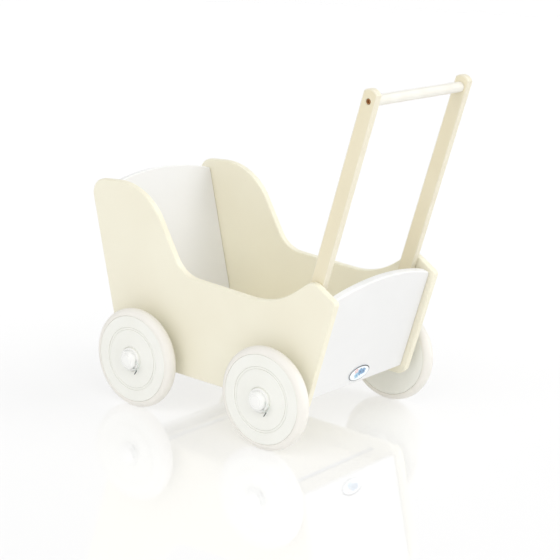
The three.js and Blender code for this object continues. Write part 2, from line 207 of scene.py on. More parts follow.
def board(name, outline, start, thickness, roundover, place, materials, segments=5):
    """A board with an anticlockwise outline in (u, v), from w = start, with rounded edges."""
    rings = []
    for k in range(segments + 1):
        angle = math.pi / 2 * k / segments
        rings.append((roundover * (1 - math.sin(angle)), roundover * (1 - math.cos(angle))))
    rings += [(amount, thickness - depth) for amount, depth in reversed(rings)]
    vertices = []
    for amount, depth in rings:
        vertices += [place(p.x, p.y, start + depth) for p in inset(outline, amount)]
    count = len(outline)
    faces = [tuple(range(count))]
    for k in range(len(rings) - 1):
        faces += ring_faces(k * count, (k + 1) * count, count)
    last = (len(rings) - 1) * count
    faces.append(tuple(reversed(range(last, last + count))))
    slots = [0] + [1] * (len(faces) - 2) + [0]
    piece = make_object(name, vertices, faces, materials, slots)
    face_out(piece)
    return piece


def face_out(piece):
    """Turns every face outwards."""
    work = bmesh.new()
    work.from_mesh(piece.data)
    bmesh.ops.recalc_face_normals(work, faces=work.faces)
    work.to_mesh(piece.data)
    work.free()


# A profile point nearer to the axis than this becomes a single vertex on it.
ON_AXIS = 1e-6


def turned(name, profile, centre, side, materials, segments=96, crease=35):
    """A body turned about Y from (radius, distance towards `side`); closed unless on the axis."""
    on_axis = profile[0][0] < ON_AXIS and profile[-1][0] < ON_AXIS
    vertices = []
    rows = []
    for radius, along in profile:
        y = along * side
        if radius < ON_AXIS:
            rows.append([len(vertices)] * segments)
            vertices.append(centre + Vector((0, y, 0)))
            continue
        rows.append([len(vertices) + k for k in range(segments)])
        for k in range(segments):
            angle = 2 * math.pi * k / segments
            spoke = Vector((radius * math.cos(angle), y, radius * math.sin(angle)))
            vertices.append(centre + spoke)
    faces = []
    neighbours = list(zip(rows, rows[1:])) + ([] if on_axis else [(rows[-1], rows[0])])
    for first, second in neighbours:
        for k in range(segments):
            loop = (k + 1) % segments
            corners = (first[k], first[loop], second[loop], second[k])
            faces.append(tuple(dict.fromkeys(corners)))
    piece = make_object(name, vertices, faces, materials, at=centre)
    face_out(piece)
    sharpen(piece, crease)
    return piece


# A wire's rounded end: (distance past the last point, ring radius), as shares of its radius.
WIRE_TIP = [(0.9, 0.4), (0.6, 0.8)]


def wire(name, path, radius, materials, at, sides=12):
    """A round wire along a path that lies in a plane of constant Y, with rounded ends."""
    up = Vector((0, 1, 0))
    vertices = []
    rings = 0
    count = len(path)
    for i, point in enumerate(path):
        tangent = (path[min(i + 1, count - 1)] - path[max(i - 1, 0)]).normalized()
        across = tangent.cross(up).normalized()
        tips = [(0, 1)]
        if i == 0:
            tips = [(-ahead, size) for ahead, size in WIRE_TIP] + tips
        if i == count - 1:
            tips += reversed(WIRE_TIP)
        for ahead, size in tips:
            middle = point + tangent * ahead * radius
            rings += 1
            for k in range(sides):
                angle = 2 * math.pi * k / sides
                spoke = across * math.cos(angle) + up * math.sin(angle)
                vertices.append(middle + spoke * radius * size)
    faces = [tuple(range(sides))]
    for k in range(rings - 1):
        faces += ring_faces(k * sides, (k + 1) * sides, sides)
    faces.append(tuple(range((rings - 1) * sides, rings * sides)))
    piece = make_object(name, vertices, faces, materials, at=at)
    face_out(piece)
    return piece


def block(name, low, high, place):
    """A plain box, used as a cutter, between two corners given in (u, v, w)."""
    corners = [
        place(u, v, w)
        for u in (low[0], high[0])
        for v in (low[1], high[1])
        for w in (low[2], high[2])
    ]
    faces = [(0, 1, 3, 2), (4, 6, 7, 5), (0, 4, 5, 1), (2, 3, 7, 6), (0, 2, 6, 4), (1, 5, 7, 3)]
    piece = make_object(name, corners, faces, [])
    face_out(piece)
    return piece


def as_pairs(path):
    """A filleted path as the plain (radius, distance) pairs that `turned` takes."""
    return [tuple(point) for point in path]


def install(piece, body, node):
    """The piece rides on its body and stands for its CAD node."""
    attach(piece, body)
    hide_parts(node)


# ------------------------------------------------------------------ materials


MASK_OFF = (0, 0, 0, 1)
MASK_ON = (1, 1, 1, 1)


def linear(code):
    """A colour written as sRGB hexadecimal, in linear values."""
    channels = [int(code[i:i + 2], 16) / 255 for i in (0, 2, 4)]
    return [c / 12.92 if c <= 0.04045 else ((c + 0.055) / 1.055) ** 2.4 for c in channels] + [1]


class Surface:
    """A principled material whose colour, roughness and bump come from procedural textures."""

    def __init__(self, name, roughness=0.5, metallic=0.0, specular=0.5,
                 coat=0.0, coat_roughness=0.1):
        self.material = bpy.data.materials.new(name)
        self.material.use_nodes = True
        self.tree = self.material.node_tree
        self.shader = self.tree.nodes["Principled BSDF"]
        self.shader.inputs["Roughness"].default_value = roughness
        self.shader.inputs["Metallic"].default_value = metallic
        self.shader.inputs["Specular IOR Level"].default_value = specular
        self.shader.inputs["Coat Weight"].default_value = coat
        self.shader.inputs["Coat Roughness"].default_value = coat_roughness
        self.place = self.tree.nodes.new("ShaderNodeTexCoord").outputs["Object"]
        self.normal = None

    def link(self, output, socket):
        self.tree.links.new(output, socket)

    def scaled_place(self, scale):
        """The place on the object, squeezed or drawn out along each axis."""
        mapping = self.tree.nodes.new("ShaderNodeMapping")
        mapping.inputs["Scale"].default_value = scale
        self.link(self.place, mapping.inputs["Vector"])
        return mapping.outputs["Vector"]

    def noise(self, scale, detail, place=None, distortion=0.0):
        """Noise whose features are about 1 / scale metres across."""
        texture = self.tree.nodes.new("ShaderNodeTexNoise")
        texture.inputs["Scale"].default_value = scale
        texture.inputs["Detail"].default_value = detail
        texture.inputs["Distortion"].default_value = distortion
        self.link(place or self.place, texture.inputs["Vector"])
        return texture.outputs["Fac"]

    def ramp(self, value, stops):
        """Maps a value through (position, colour) stops."""
        node = self.tree.nodes.new("ShaderNodeValToRGB")
        elements = node.color_ramp.elements
        for i, (position, colour) in enumerate(stops):
            element = elements[i] if i < 2 else elements.new(position)
            element.position = position
            element.color = colour
        self.link(value, node.inputs["Fac"])
        return node.outputs["Color"]

    def spread(self, value, low, high):
        """Maps the middle of a noise to the range low to high."""
        node = self.tree.nodes.new("ShaderNodeMapRange")
        node.inputs["From Min"].default_value = 0.3
        node.inputs["From Max"].default_value = 0.7
        node.inputs["To Min"].default_value = low
        node.inputs["To Max"].default_value = high
        self.link(value, node.inputs["Value"])
        return node.outputs["Result"]

    def along(self, direction):
        """The distance along a direction, in metres from the object's origin."""
        node = self.tree.nodes.new("ShaderNodeVectorMath")
        node.operation = "DOT_PRODUCT"
        node.inputs[1].default_value = direction
        self.link(self.place, node.inputs[0])
        return node.outputs["Value"]

    def rise(self, value, start, end):
        """Rises from 0 to 1 between two distances in millimetres."""
        node = self.tree.nodes.new("ShaderNodeMapRange")
        node.inputs["From Min"].default_value = start * MM
        node.inputs["From Max"].default_value = end * MM
        self.link(value, node.inputs["Value"])
        return node.outputs["Result"]

    def mix(self, factor, first, second):
        """Blends from the first colour, an output, to the second, an output or a plain colour."""
        node = self.tree.nodes.new("ShaderNodeMix")
        node.data_type = "RGBA"
        node.blend_type = "MIX"
        self.link(factor, node.inputs[0])
        self.link(first, node.inputs[6])
        if isinstance(second, list):
            node.inputs[7].default_value = second
        else:
            self.link(second, node.inputs[7])
        return node.outputs[2]

    def colour(self, output):
        self.link(output, self.shader.inputs["Base Color"])

    def rough(self, output):
        self.link(output, self.shader.inputs["Roughness"])

    def bump(self, height, strength, distance):
        """Adds relief to what is there already; distance is in millimetres."""
        node = self.tree.nodes.new("ShaderNodeBump")
        node.inputs["Strength"].default_value = strength
        node.inputs["Distance"].default_value = distance * MM
        self.link(height, node.inputs["Height"])
        if self.normal:
            self.link(self.normal, node.inputs["Normal"])
        self.normal = node.outputs["Normal"]
        self.link(self.normal, self.shader.inputs["Normal"])


def painted_board(name, light, dark, worn):
    """Sprayed satin paint: cloudy tone, orange peel, and wood fibre that tells through a little."""
    roughness = 0.42
    surface = Surface(name, roughness, specular=0.45)
    cloud = surface.noise(7, 4)
    fibre = surface.noise(60, 5, surface.scaled_place((0.5, 6, 5)))
    tone = surface.ramp(cloud, [(0.35, linear(dark)), (0.65, linear(light))])
    speck = surface.ramp(surface.noise(420, 2), [(0.72, MASK_OFF), (0.8, MASK_ON)])
    tone = surface.mix(speck, tone, linear(worn))
    surface.colour(tone)
    surface.rough(surface.spread(surface.noise(35, 3), roughness - 0.05, roughness + 0.06))
    surface.bump(surface.noise(520, 2), 0.12, 0.12)
    surface.bump(fibre, 0.10, 0.10)
    return surface.material


def painted_edge(name, light, dark, roughness=0.4):
    """Paint over a cut edge, which soaks in more and shows finer grain."""
    surface = Surface(name, roughness, specular=0.5)
    tone = surface.noise(30, 4)
    surface.colour(surface.ramp(tone, [(0.35, linear(dark)), (0.65, linear(light))]))
    surface.rough(surface.spread(surface.noise(120, 3), roughness - 0.06, roughness + 0.1))
    surface.bump(surface.noise(900, 3), 0.18, 0.1)
    return surface.material


def moulded_plastic(name, light, dark, roughness, coat=0.0, relief=0.1):
    """Plain moulded plastic with a very fine spark-eroded grain."""
    surface = Surface(name, roughness, specular=0.5, coat=coat)
    tone = surface.noise(22, 3)
    surface.colour(surface.ramp(tone, [(0.3, linear(dark)), (0.7, linear(light))]))
    surface.rough(surface.spread(surface.noise(90, 2), roughness - 0.05, roughness + 0.06))
    surface.bump(surface.noise(1400, 2), relief, 0.06)
    return surface.material


def soft_tyre(name, light, dark):
    """A pale, slightly uneven moulded ring with fine pores."""
    surface = Surface(name, 0.5, specular=0.4)
    tone = surface.noise(30, 4)
    surface.colour(surface.ramp(tone, [(0.3, linear(dark)), (0.7, linear(light))]))
    surface.rough(surface.spread(surface.noise(60, 4), 0.44, 0.6))
    surface.bump(surface.noise(900, 3), 0.15, 0.1)
    return surface.material


def metal(name, light, dark, roughness, scale=(1, 1, 1)):
    """Plated metal with faint streaks, drawn out where the scale is small."""
    surface = Surface(name, roughness, metallic=1.0)
    streaks = surface.noise(300, 4, surface.scaled_place(scale))
    surface.colour(surface.ramp(streaks, [(0.35, linear(dark)), (0.65, linear(light))]))
    surface.rough(surface.spread(surface.noise(700, 2), roughness - 0.06, roughness + 0.08))
    surface.bump(streaks, 0.1, 0.02)
    return surface.material


# How far out along the clip's tail the painted shade begins, and where it is complete.
TAIL_PAINTED_SHADE = (15.5, 18.5)


def clip_wire(name):
    """Bright sprung wire, darkened with painted shade where the free end is bent."""
    surface = Surface(name, 0.3, metallic=1.0)
    streaks = surface.noise(300, 4)
    bright = surface.ramp(streaks, [(0.35, linear("d6ddd8")), (0.65, linear("e4e9e5"))])
    # Painted shade: the bent tail is coloured dark to stand for the shade on it.
    painted_shade = surface.ramp(streaks, [(0.35, linear("3d4445")), (0.65, linear("555d5e"))])
    distance = surface.along((CLIP_OUT - CLIP_ACROSS).normalized())
    surface.colour(surface.mix(surface.rise(distance, *TAIL_PAINTED_SHADE), bright, painted_shade))
    surface.rough(surface.spread(surface.noise(700, 2), 0.24, 0.38))
    surface.bump(streaks, 0.1, 0.02)
    return surface.material


def bare_beech(name):
    """Unpainted wood with a long grain."""
    surface = Surface(name, 0.65, specular=0.3)
    grain = surface.noise(90, 5, surface.scaled_place((6, 0.6, 6)), 0.4)
    surface.colour(surface.ramp(grain, [(0.3, linear("b98d58")), (0.7, linear("dcb981"))]))
    surface.bump(grain, 0.3, 0.1)
    return surface.material


def printed(name, light, dark):
    """Printed ink under a clear coat."""
    surface = Surface(name, 0.35, specular=0.5, coat=0.6, coat_roughness=0.08)
    dots = surface.noise(1600, 1)
    surface.colour(surface.ramp(dots, [(0.4, linear(dark)), (0.6, linear(light))]))
    return surface.material


CREAM_FACE = painted_board("cream_face", "eeead7", "ebe6d2", "e3ddc5")
CREAM_EDGE = painted_edge("cream_edge", "ede9d5", "e9e4cf")
BAR_FACE = painted_board("bar_face", "e5ddc3", "e1d8bc", "d9d0b2")
BAR_EDGE = painted_edge("bar_edge", "e5dfcb", "e1dac4")
WHITE_FACE = painted_board("white_face", "e8e8e7", "e5e5e4", "dededc")
WHITE_EDGE = painted_edge("white_edge", "ececeb", "e8e8e6")
GRIP_PAINT = painted_edge("grip_paint", "e8e6de", "e4e1d7", 0.34)
WHEEL_PLASTIC = moulded_plastic("wheel_plastic", "eeeee8", "ebebe4", 0.42)
CAP_PLASTIC = moulded_plastic("cap_plastic", "f0f0ed", "eeeeeb", 0.22, coat=0.4, relief=0.04)
TYRE_RUBBER = soft_tyre("tyre_rubber", "ece9e2", "e8e5de")
STEEL = metal("zinc_steel", "c9cbcc", "a9acae", 0.25, (1, 0.1, 1))
WIRE_STEEL = clip_wire("wire_steel")
BRONZE = metal("bronze_plate", "b4875c", "8a5c38", 0.3)
BEECH = bare_beech("bare_beech")
BADGE_WHITE = printed("badge_white", "eef3f7", "e8eff4")
BADGE_LINE = printed("badge_line", "16181a", "0c0d0e")
BADGE_BLUE = printed("badge_blue", "6f9fc6", "5a8cb6")
BADGE_NAVY = printed("badge_navy", "3f6591", "33567f")
BADGE_SKY = printed("badge_sky", "9cc8de", "88b8d3")
BADGE_PINK = printed("badge_pink", "eec4c2", "e8b8b6")

CREAM = [CREAM_FACE, CREAM_EDGE]
BAR_PAINT = [BAR_FACE, BAR_EDGE]
WHITE = [WHITE_FACE, WHITE_EDGE]


# ------------------------------------------------------------------ frames of the leaning ends


def side_edge_x(end, z):
    """Where a side board's leaning edge is at a height."""
    if end == "head":
        return SIDE_BOTTOM_HEAD_X - (z - SIDE_BOTTOM) * math.tan(HEAD_LEAN)
    return SIDE_BOTTOM_FOOT_X + (z - SIDE_BOTTOM) * math.tan(FOOT_LEAN)


class Leaning:
    """A frame turned about Y: local x out of the board, local z up along it."""

    def __init__(self, x, z, lean):
        self.origin = Vector((MIDDLE_X + x, 0, z))
        self.out = Vector((math.cos(lean), 0, -math.sin(lean)))
        self.up = Vector((math.sin(lean), 0, math.cos(lean)))

    def point(self, x, y, z):
        return self.origin + self.out * x + Vector((0, y, 0)) + self.up * z


HEAD = Leaning(
    side_edge_x("head", HEAD_PANEL["bottom"]) + HEAD_PANEL["recess"] / math.cos(HEAD_LEAN),
    HEAD_PANEL["bottom"],
    -HEAD_LEAN,
)
FOOT = Leaning(
    side_edge_x("foot", FOOT_PANEL["bottom"]) - FOOT_PANEL["recess"] / math.cos(FOOT_LEAN),
    FOOT_PANEL["bottom"],
    FOOT_LEAN,
)
HANDLE = Leaning(GRIP_X, GRIP_Z, FOOT_LEAN)


# ------------------------------------------------------------------ tub


AXLE_HOLE_RADIUS = 3.3


def upright(u, v, w):
    """A side board is drawn along X and Z, and is thick along Y."""
    return Vector((MIDDLE_X + u, w, v))


def make_side_panels():
    """Two equal boards with an S-curve along the top and holes for the axles."""
    outline = fillet([
        (SIDE_BOTTOM_HEAD_X, SIDE_BOTTOM, 18),
        (SIDE_BOTTOM_FOOT_X, SIDE_BOTTOM, 18),
        (side_edge_x("foot", SIDE_TOP_FOOT_Z), SIDE_TOP_FOOT_Z, 8),
        (187, 267.5, 18),  # peak beside the handle
        (118, 215.4, 130),  # end of the low stretch
        (-67, 223.3, 55),  # foot of the S-curve
        (-148, 354.8, 105),  # shoulder of the S-curve
        (side_edge_x("head", SIDE_TOP_HEAD_Z), SIDE_TOP_HEAD_Z, 25),
    ], step=math.radians(3))
    radius = AXLE_HOLE_RADIUS
    bore = [(0, -BOARD), (radius, -BOARD), (radius, BOARD), (0, BOARD)]
    for name, side in SIDES.items():
        start = -HALF_OUTSIDE if side < 0 else HALF_INSIDE
        panel = board(f"side_board_{name}", outline, start, BOARD, BOARD_ROUNDOVER, upright, CREAM)
        middle = side * (HALF_INSIDE + HALF_OUTSIDE) / 2
        centres = [Vector((wheel_centre(end, name).x, middle, AXLE_Z)) for end in ENDS]
        carve(panel, [turned("axle_hole", bore, centre, 1, [], 32) for centre in centres])
        soften(panel)
        install(panel, "root", f"side_panel_{name}")


def end_outline(size):
    """A head or foot panel: straight sides, rounded corners and an arched top."""
    half = HALF_BETWEEN - 0.25
    rise = size["crown_height"] - size["end_height"]
    radius = (half ** 2 + rise ** 2) / (2 * rise)
    half_angle = math.asin(half / radius)
    steps = 40
    shoulder = size["end_height"] - 0.5
    points = [(-half, 0, 3), (half, 0, 3), (half, shoulder, size["corner"])]
    for k in range(2, steps - 1):
        angle = half_angle - 2 * half_angle * k / steps
        drop = radius * (1 - math.cos(angle))
        points.append((radius * math.sin(angle), size["crown_height"] - drop, 0))
    points.append((-half, shoulder, size["corner"]))
    return fillet(points)


def make_end_panels():
    """Each panel is drawn on its outer face and is thick towards the inside of the tub."""
    head = board("head_board", end_outline(HEAD_PANEL), 0, BOARD, BOARD_ROUNDOVER,
                 lambda u, v, w: HEAD.point(w, u, v), WHITE)
    foot = board("foot_board", end_outline(FOOT_PANEL), -BOARD, BOARD, BOARD_ROUNDOVER,
                 lambda u, v, w: FOOT.point(w, u, v), WHITE)
    for piece, node in ((head, "head_panel"), (foot, "foot_panel")):
        soften(piece)
        install(piece, "root", node)


def make_floor():
    """The board that the doll lies on, between the side boards."""
    low, high = node_box("floor_panel")
    start, end = low.x - MIDDLE_X, high.x - MIDDLE_X
    corner = 2
    roundover = 1
    outline = fillet([
        (start, low.y, corner), (end, low.y, corner), (end, high.y, corner), (start, high.y, corner),
    ])
    piece = board("floor_board", outline, low.z, high.z - low.z, roundover,
                  lambda u, v, w: Vector((MIDDLE_X + u, v, w)), CREAM, 3)
    soften(piece)
    install(piece, "root", "floor_panel")


# ------------------------------------------------------------------ badge


BADGE = {"half_width": 26.5, "half_height": 13.5, "height": 18.6, "thickness": 0.8}
BADGE_FACE = GAP + BADGE["thickness"]


def badge_oval(narrower, shift=Vector((0, 0))):
    """The badge's outline, made narrower all round and moved by a shift."""
    half_width = BADGE["half_width"] - narrower
    half_height = BADGE["half_height"] - narrower
    steps = 96
    points = []
    for k in range(steps):
        angle = 2 * math.pi * k / steps
        point = Vector((half_width * math.cos(angle), half_height * math.sin(angle)))
        points.append(point + Vector((0, BADGE["height"])) + shift)
    return points


def make_lens(name, u, v, radius, material, dome):
    """A small round dome on the badge, sunk slightly into it."""
    sides = 24
    sunk = 0.05
    vertices = []
    for share, lift in ((1, 0), (0.85, 0.8), (0.4, 1)):
        for k in range(sides):
            angle = 2 * math.pi * k / sides
            vertices.append(FOOT.point(
                BADGE_FACE - sunk + dome * lift,
                u + radius * share * math.cos(angle),
                BADGE["height"] + v + radius * share * math.sin(angle),
            ))
    faces = ring_faces(0, sides, sides) + ring_faces(sides, 2 * sides, sides)
    faces += [tuple(range(2 * sides, 3 * sides)), tuple(reversed(range(sides)))]
    piece = make_object(name, vertices, faces, [material])
    face_out(piece)
    return piece


def make_flower(name, u, v, size, petals, material, heart):
    """Round petals in a ring, with a higher heart in the middle."""
    pieces = []
    for k in range(petals):
        angle = 2 * math.pi * k / petals + 0.5
        petal_u = u + size * math.cos(angle)
        petal_v = v + size * math.sin(angle)
        petal = make_lens(f"{name}_petal_{k + 1}", petal_u, petal_v, size * 0.72, material, 0.12)
        pieces.append(petal)
    pieces.append(make_lens(f"{name}_heart", u, v, size * 0.5, heart, 0.2))
    return pieces


def make_badge_line():
    """A dark line round the badge's edge, wider where the white oval inside sits off centre."""
    rim = badge_oval(0.5)
    inner = badge_oval(2, Vector((0.7, -0.8)))
    low = BADGE_FACE - 0.04
    high = low + 0.08
    vertices = []
    for ring, face in ((rim, low), (rim, high), (inner, high), (inner, low)):
        vertices += [FOOT.point(face, p.x, p.y) for p in ring]
    count = len(rim)
    faces = []
    for k in range(4):
        faces += ring_faces(k * count, ((k + 1) % 4) * count, count)
    line = make_object("badge_rim_line", vertices, faces, [BADGE_LINE])
    face_out(line)
    return line


def make_badge():
    """An oval plate with a dark line, three blue flowers and a pink one."""
    plate = board("badge_plate", badge_oval(0), GAP, BADGE["thickness"], 0.35,
                  lambda u, v, w: FOOT.point(w, u, v), [BADGE_WHITE, BADGE_WHITE], 3)
    soften(plate)
    install(plate, "root", "badge")
    pieces = [make_badge_line()]
    pieces += make_flower("badge_blue_flower_1", 10.4, 1.2, 3.5, 5, BADGE_BLUE, BADGE_NAVY)
    pieces += make_flower("badge_blue_flower_2", 2.6, 1.2, 4.1, 6, BADGE_BLUE, BADGE_NAVY)
    pieces += make_flower("badge_blue_flower_3", -5.4, -3.2, 3.6, 5, BADGE_SKY, BADGE_BLUE)
    pieces += make_flower("badge_pink_flower", -8.6, 5, 2.6, 5, BADGE_PINK, BADGE_WHITE)
    for piece in pieces:
        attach(piece, "root")


# ------------------------------------------------------------------ handle

BAR_OUTER_Y = HALF_BETWEEN
BAR_INNER_Y = BAR_OUTER_Y - BOARD

# Heights of the two screws in each bar, measured along it from the grip.
BAR_SCREW_HEIGHTS = (-405, -335)


def along_y(name, profile, centre, side, segments=32):
    """A turned cutter that is measured from the pram's centre plane."""
    return turned(name, profile, Vector((centre.x, 0, centre.z)), side, [], segments)


def cross_recess(centre, side, face, size=5.0, width=1.1, depth=1.6):
    """Cutters for the two crossed slots in a screw's face, which is at y = side * face."""
    low, high = sorted((side * (face - depth), side * (face + depth)))
    slots = []
    first_turn = 0.6
    for turn in (first_turn, first_turn + math.pi / 2):
        along = Vector((math.cos(turn), 0, math.sin(turn)))
        across = Vector((-math.sin(turn), 0, math.cos(turn)))

        def place(u, v, w, along=along, across=across):
            return Vector((centre.x, w, centre.z)) + along * u + across * v

        slots.append(block("slot", (-size / 2, -width / 2, low), (size / 2, width / 2, high), place))
    return slots


def make_handle():
    """Two flat bars with rounded tops, the round grip between them, and their screws."""
    half = BAR["width"] / 2
    half_angle = math.asin(half / BAR["top_radius"])
    top = BAR["above"] - BAR["top_radius"]
    points = [(-half, -BAR["below"], 3), (half, -BAR["below"], 3)]
    steps = 24
    for k in range(steps + 1):
        angle = half_angle - 2 * half_angle * k / steps
        u = BAR["top_radius"] * math.sin(angle)
        points.append((u, top + BAR["top_radius"] * math.cos(angle), 0))
    outline = fillet(points)
    grip = HANDLE.point(0, 0, 0)
    radius, floor = 4.6, BAR_OUTER_Y - 3.9
    counterbore = [(0, floor), (radius, floor), (radius, BAR_OUTER_Y + 1), (0, BAR_OUTER_Y + 1)]
    for name, side in SIDES.items():
        start = -BAR_OUTER_Y if side < 0 else BAR_INNER_Y
        bar = board(f"handle_board_{name}", outline, start, BOARD, 2,
                    lambda u, v, w: HANDLE.point(u, w, v), BAR_PAINT)
        carve(bar, [along_y("counterbore", counterbore, grip, side)])
        soften(bar)
        install(bar, "root", f"handle_bar_{name}")
        make_grip_screw(name, side, grip)
        for i, height in enumerate(BAR_SCREW_HEIGHTS):
            make_bar_screw(name, side, i + 1, HANDLE.point(0, 0, height))

    end = BAR_INNER_Y - GAP
    profile = fillet([
        (0, -end, 0), (GRIP_RADIUS, -end, 0.8), (GRIP_RADIUS, end, 0.8), (0, end, 0),
    ], closed=False)
    bar = turned("grip_bar", as_pairs(profile), grip, 1, [GRIP_PAINT], 64)
    install(bar, "root", "handle_grip")


def make_grip_screw(name, side, grip):
    """A bolt with a cylindrical head and a hexagonal socket, sunk into the bar."""
    tip, shank, head = 84, 2, 4.2
    face = BAR_OUTER_Y - 1.2
    neck = face - 2.4
    profile = fillet([
        (0, tip, 0), (shank, tip, 0), (shank, neck, 0), (head, neck, 0), (head, face, 0.6), (0, face, 0),
    ], closed=False)
    centre = Vector((grip.x, 0, grip.z))
    screw = turned(f"grip_bolt_{name}", as_pairs(profile), centre, side, [BRONZE], 48)
    across, bottom = 2.4, face - 1.8
    hexagon = [(0, bottom), (across, bottom), (across, face + 1), (0, face + 1)]
    carve(screw, [along_y("socket", hexagon, grip, side, 6)])
    sharpen(screw, 30)
    install(screw, "root", f"grip_screw_{name}")


def make_bar_screw(name, side, number, centre):
    """A countersunk screw from inside the tub, through the bar and into the side board."""
    head = BAR_INNER_Y + GAP
    tip = HALF_INSIDE + BOARD / 2
    rim, shank = 4.1, 2
    profile = fillet([
        (0, head, 0), (rim, head, 0.3), (rim, head + 0.5, 0.2),
        (shank, head + 2.6, 0.5), (shank, tip - 3, 0), (0, tip, 0),
    ], closed=False)
    axis = Vector((centre.x, 0, centre.z))
    screw = turned(f"wood_screw_{name}_{number}", as_pairs(profile), axis, side, [STEEL], 40)
    carve(screw, cross_recess(centre, side, head))
    sharpen(screw, 30)
    install(screw, "root", f"bar_screw_{name}_{number}")


# ------------------------------------------------------------------ axles

WHEEL_Y = wheel_centre("head", "right").y
AXLE_HALF_LENGTH = node_box("axle_head")[1].y
AXLE_RADIUS = 3
BORE_RADIUS = 3.2

# The groove for the release clip, measured outwards from the wheel's centre plane.
GROOVE_AT = 18
WASHER_HEIGHT = 1.8


def make_axles():
    """Rods with a groove near each end, and the push-on washers that hold them in place."""
    groove = WHEEL_Y + GROOVE_AT
    near, far = groove - 1, groove + 1
    waist = 2.2
    half = [
        (AXLE_RADIUS, near, 0), (waist, near, 0), (waist, far, 0), (AXLE_RADIUS, far, 0),
        (AXLE_RADIUS, AXLE_HALF_LENGTH, 0.9), (0, AXLE_HALF_LENGTH, 0),
    ]
    profile = fillet([(r, -y, c) for r, y, c in reversed(half)] + half, closed=False)
    seat = HALF_OUTSIDE + GAP
    top = seat + WASHER_HEIGHT
    washer = fillet([
        (BORE_RADIUS, seat, 0), (9, seat, 0.15), (9, seat + 0.8, 0.3),
        (5.6, seat + 0.9, 0.5), (5, top, 0.3), (BORE_RADIUS, top, 0),
    ])
    for end in ENDS:
        centre = Vector((wheel_centre(end, "left").x, 0, AXLE_Z))
        axle = turned(f"axle_rod_{end}", as_pairs(profile), centre, 1, [STEEL], 48, 25)
        install(axle, "root", f"axle_{end}")
        for name, side in SIDES.items():
            place = f"{end}_{name}"
            ring = turned(f"push_washer_{place}", as_pairs(washer), centre, side, [STEEL], 48)
            install(ring, "root", f"axle_washer_{place}")


# ------------------------------------------------------------------ wheels

# Distances are measured outwards from the wheel's centre plane.
TYRE_RADIUS = 80
SEAM_RADIUS = 69.4
HALF_WHEEL = 11
HUB_END = HALF_OUTSIDE + GAP + WASHER_HEIGHT + 0.6 - WHEEL_Y
BOSS_FACE = 15
CAP_RADIUS = 15
CAP_FLANGE = 18.6
WIRE_RADIUS = 0.75


def disc_profile():
    """Hub, back face, seat of the tyre, front face with its ring groove, moat and boss."""
    rim = SEAM_RADIUS - 0.2
    line = HALF_WHEEL - 1.3
    groove = HALF_WHEEL - 0.6
    moat = HALF_WHEEL + 0.4
    return fillet([
        (BORE_RADIUS, HUB_END, 0), (12, HUB_END, 1), (14, -HALF_WHEEL + 1.2, 4),
        (30, -HALF_WHEEL + 0.6, 30), (66, -HALF_WHEEL, 3), (rim, -HALF_WHEEL + 0.2, 0.9),
        (rim, -HALF_WHEEL + 3, 0), (rim, HALF_WHEEL - 3, 0), (rim, HALF_WHEEL, 0.9),
        (51.3, HALF_WHEEL, 0.15), (51.2, line, 0.1), (50.5, line, 0.1), (50.3, groove, 0.1),
        (47.6, groove, 0.1), (47.4, line, 0.1), (46.8, line, 0.1), (46.7, HALF_WHEEL, 0.15),
        (36, HALF_WHEEL, 40), (20.2, HALF_WHEEL + 1.7, 0.2), (19.9, moat, 0.1), (19.3, moat, 0.1),
        (18.3, BOSS_FACE + 0.2, 1.1), (16.2, BOSS_FACE, 0.3), (BORE_RADIUS, BOSS_FACE, 0),
    ])


def tyre_profile():
    """A ring with a half round tread."""
    seat = SEAM_RADIUS + 0.4
    steps = 32
    tread = []
    for k in range(steps + 1):
        angle = math.pi * (k / steps - 0.5)
        radius = seat + (TYRE_RADIUS - seat) * math.cos(angle)
        tread.append((radius, HALF_WHEEL * math.sin(angle)))
    inside = SEAM_RADIUS - 0.1
    return tread + [(inside, HALF_WHEEL - 0.9), (inside, -HALF_WHEEL + 0.9)]


def cap_profile():
    """A hollow dome on a thin flange, with two fine rings turned into its crown."""
    crown, shoulder, bore = 25.1, 19.2, 13.6
    rings = (9, 12.2)
    ring_depth, ring_width = 0.6, 0.5
    outer = []
    steps = 60
    for k in range(steps + 1):
        radius = CAP_RADIUS * k / steps
        dome = shoulder + (crown - shoulder) * math.sqrt(max(0.0, 1 - (radius / CAP_RADIUS) ** 3))
        sunk = sum(
            ring_depth * math.exp(-((radius - ring) / ring_width) ** 2) for ring in rings
        )
        outer.append((radius, dome - sunk))
    seat = BOSS_FACE + 0.25
    wall = [(CAP_RADIUS, 17), (CAP_RADIUS, seat + 0.8), (CAP_RADIUS + 0.5, seat + 0.8)]
    flange = [
        (CAP_RADIUS + 0.7, seat + 1.2), (CAP_FLANGE - 0.3, seat + 1.1), (CAP_FLANGE, seat + 0.7),
        (CAP_FLANGE, seat),
    ]
    hollow = [(bore, seat), (bore, 18), (11.5, 20.4), (7.5, 22.4), (0, 23.4)]
    return outer + wall + flange + hollow


def clip_point(u, v, along, centre):
    """A point by its distances along CLIP_OUT, along CLIP_ACROSS and out from the wheel."""
    return centre + CLIP_OUT * u + CLIP_ACROSS * v + Vector((0, along, 0))


def make_clip_path(centre, side):
    """A cross bar outside the cap, a leg, a loop round the axle's groove, and a bent tail."""
    # The loop's narrow waist holds the groove; pushed in, its wide part frees the axle.
    waist, wide = 3.15, 4.2
    loop_end = -5
    stops = fillet([
        (22.5, -10, 0), (22.5, 9, 1.6), (11.5, 8.7, 2), (7.5, wide, 2),
        (3.4, wide, 0.8), (2.5, waist, 0.8), (-2.4, waist, 1.5),
        (loop_end, 1.6, 1), (loop_end, -1.6, 1),
        (-2.4, -waist, 1.5), (2.5, -waist, 0.8), (3.4, -wide, 0.8),
        (9, -wide, 2), (14, -4.8, 3), (21, -3.2, 0),
    ], closed=False, step=math.radians(12))
    return [clip_point(p.x, p.y, side * GROOVE_AT, centre) for p in stops]


